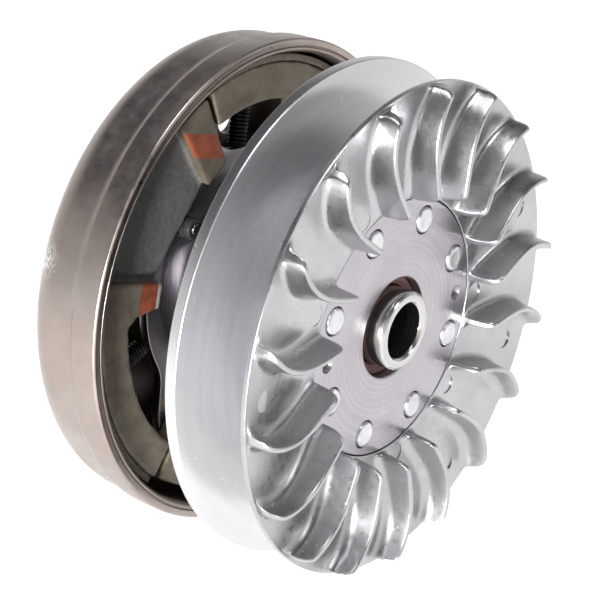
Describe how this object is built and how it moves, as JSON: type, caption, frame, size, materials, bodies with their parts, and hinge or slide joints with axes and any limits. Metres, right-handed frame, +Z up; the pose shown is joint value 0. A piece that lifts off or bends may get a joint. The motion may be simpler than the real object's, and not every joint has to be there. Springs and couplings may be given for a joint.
{
  "type": "cvt driven pulley and clutch",
  "caption": "Belt-drive driven pulley: fan-bladed fixed sheave, sprung sliding sheave, and centrifugal clutch shoes in a steel drum.",
  "frame": {"origin": "on the shaft axis, in the middle of the closed belt groove", "axes": "+Y along the shaft axis from the fan to the drum, +Z up"},
  "size_m": [0.154, 0.0924, 0.154],
  "materials": {
    "cast_aluminium": "as cast, lightly blasted",
    "turned_aluminium": "fine turned",
    "machined_steel": "turned",
    "rivet_steel": "cold headed",
    "ground_steel": "ground and polished",
    "drum_steel": "turned, warm grey",
    "shoe_casting": "sand cast",
    "spring_steel": "black oxide",
    "black_rubber": "matte",
    "seal_rubber": "matte red-brown",
    "friction_lining": "bonded friction material"
  },
  "bodies": {
    "shaft_side": {"inner_sleeve": "ground_steel", "bearing_inner_ring": "ground_steel", "drum_hub": "machined_steel", "clutch_drum": "drum_steel"},
    "fixed_half": {"fan_sheave": "cast_aluminium", "fixed_hub": "machined_steel", "sheave_rivet_1": "rivet_steel", "sheave_rivet_2": "rivet_steel", "sheave_rivet_3": "rivet_steel", "sheave_rivet_4": "rivet_steel", "sheave_rivet_5": "rivet_steel", "sheave_rivet_6": "rivet_steel", "sheave_rivet_7": "rivet_steel", "sheave_rivet_8": "rivet_steel", "hub_oil_seal": "seal_rubber", "needle_bearing_shell": "ground_steel", "bearing_outer_ring": "ground_steel", "bearing_circlip": "spring_steel", "guide_pin_1": "ground_steel", "guide_pin_2": "ground_steel", "guide_pin_3": "ground_steel", "carrier_plate": "machined_steel", "carrier_nut": "machined_steel", "pivot_pin_1": "ground_steel", "pivot_pin_2": "ground_steel", "pivot_pin_3": "ground_steel", "pivot_clip_1": "spring_steel", "pivot_clip_2": "spring_steel", "pivot_clip_3": "spring_steel", "shoe_damper_1": "black_rubber", "shoe_damper_2": "black_rubber", "shoe_damper_3": "black_rubber", "main_spring": "spring_steel", "return_spring_1": "spring_steel", "return_spring_2": "spring_steel", "return_spring_3": "spring_steel"},
    "ball_cage_ring": {"ball_cage": "ground_steel"},
    "needle_cage_ring": {"needle_cage": "ground_steel"},
    "spring_seat": {"slip_washer": "machined_steel"},
    "moving_half": {"moving_sheave": "turned_aluminium", "sliding_sleeve": "machined_steel", "seal_collar": "machined_steel", "o_ring_1": "black_rubber", "o_ring_2": "black_rubber"},
    "shoe_1": {"clutch_shoe_1": "shoe_casting", "shoe_lining_1": "friction_lining"},
    "shoe_2": {"clutch_shoe_2": "shoe_casting", "shoe_lining_2": "friction_lining"},
    "shoe_3": {"clutch_shoe_3": "shoe_casting", "shoe_lining_3": "friction_lining"}
  },
  "joints": [
    {"name": "pulley_spin", "type": "hinge", "parent": "shaft_side", "child": "fixed_half", "pos_m": [0, 0, 0], "axis": [0, 1, 0], "continuous": true},
    {"name": "ball_cage_spin", "type": "hinge", "parent": "shaft_side", "child": "ball_cage_ring", "pos_m": [0, 0.0515, 0], "axis": [0, 1, 0], "continuous": true},
    {"name": "needle_cage_spin", "type": "hinge", "parent": "shaft_side", "child": "needle_cage_ring", "pos_m": [0, 0.007, 0], "axis": [0, 1, 0], "continuous": true},
    {"name": "sheave_slide", "type": "slide", "parent": "fixed_half", "child": "spring_seat", "axis": [0, 1, 0], "range_m": [0, 0.014], "stiffness_N_per_m": 1500, "springref_m": -0.004, "deforming": ["main_spring"]},
    {"name": "sheave_twist", "type": "hinge", "parent": "spring_seat", "child": "moving_half", "pos_m": [0, 0, 0], "axis": [0, 1, 0], "range_deg": [0, 32.4]},
    {"name": "shoe_1_pivot", "type": "hinge", "parent": "fixed_half", "child": "shoe_1", "pos_m": [-0.01792, 0.0489, 0.04668], "axis": [0, 1, 0], "range_deg": [0, 1.1], "stiffness_Nm_per_rad": 3, "springref_deg": -1.72, "deforming": ["return_spring_1"]},
    {"name": "shoe_2_pivot", "type": "hinge", "parent": "fixed_half", "child": "shoe_2", "pos_m": [-0.03147, 0.0489, -0.03886], "axis": [0, 1, 0], "range_deg": [0, 1.1], "stiffness_Nm_per_rad": 3, "springref_deg": -1.72, "deforming": ["return_spring_2"]},
    {"name": "shoe_3_pivot", "type": "hinge", "parent": "fixed_half", "child": "shoe_3", "pos_m": [0.04938, 0.0489, -0.00782], "axis": [0, 1, 0], "range_deg": [0, 1.1], "stiffness_Nm_per_rad": 3, "springref_deg": -1.72, "deforming": ["return_spring_3"]}
  ],
  "couplings": [
    {"joint": "ball_cage_spin", "follows": "pulley_spin", "ratio": 0.5763},
    {"joint": "needle_cage_spin", "follows": "pulley_spin", "ratio": 0.5373},
    {"joint": "sheave_twist", "follows": "sheave_slide", "rad_per_m": 40.341}
  ]
}
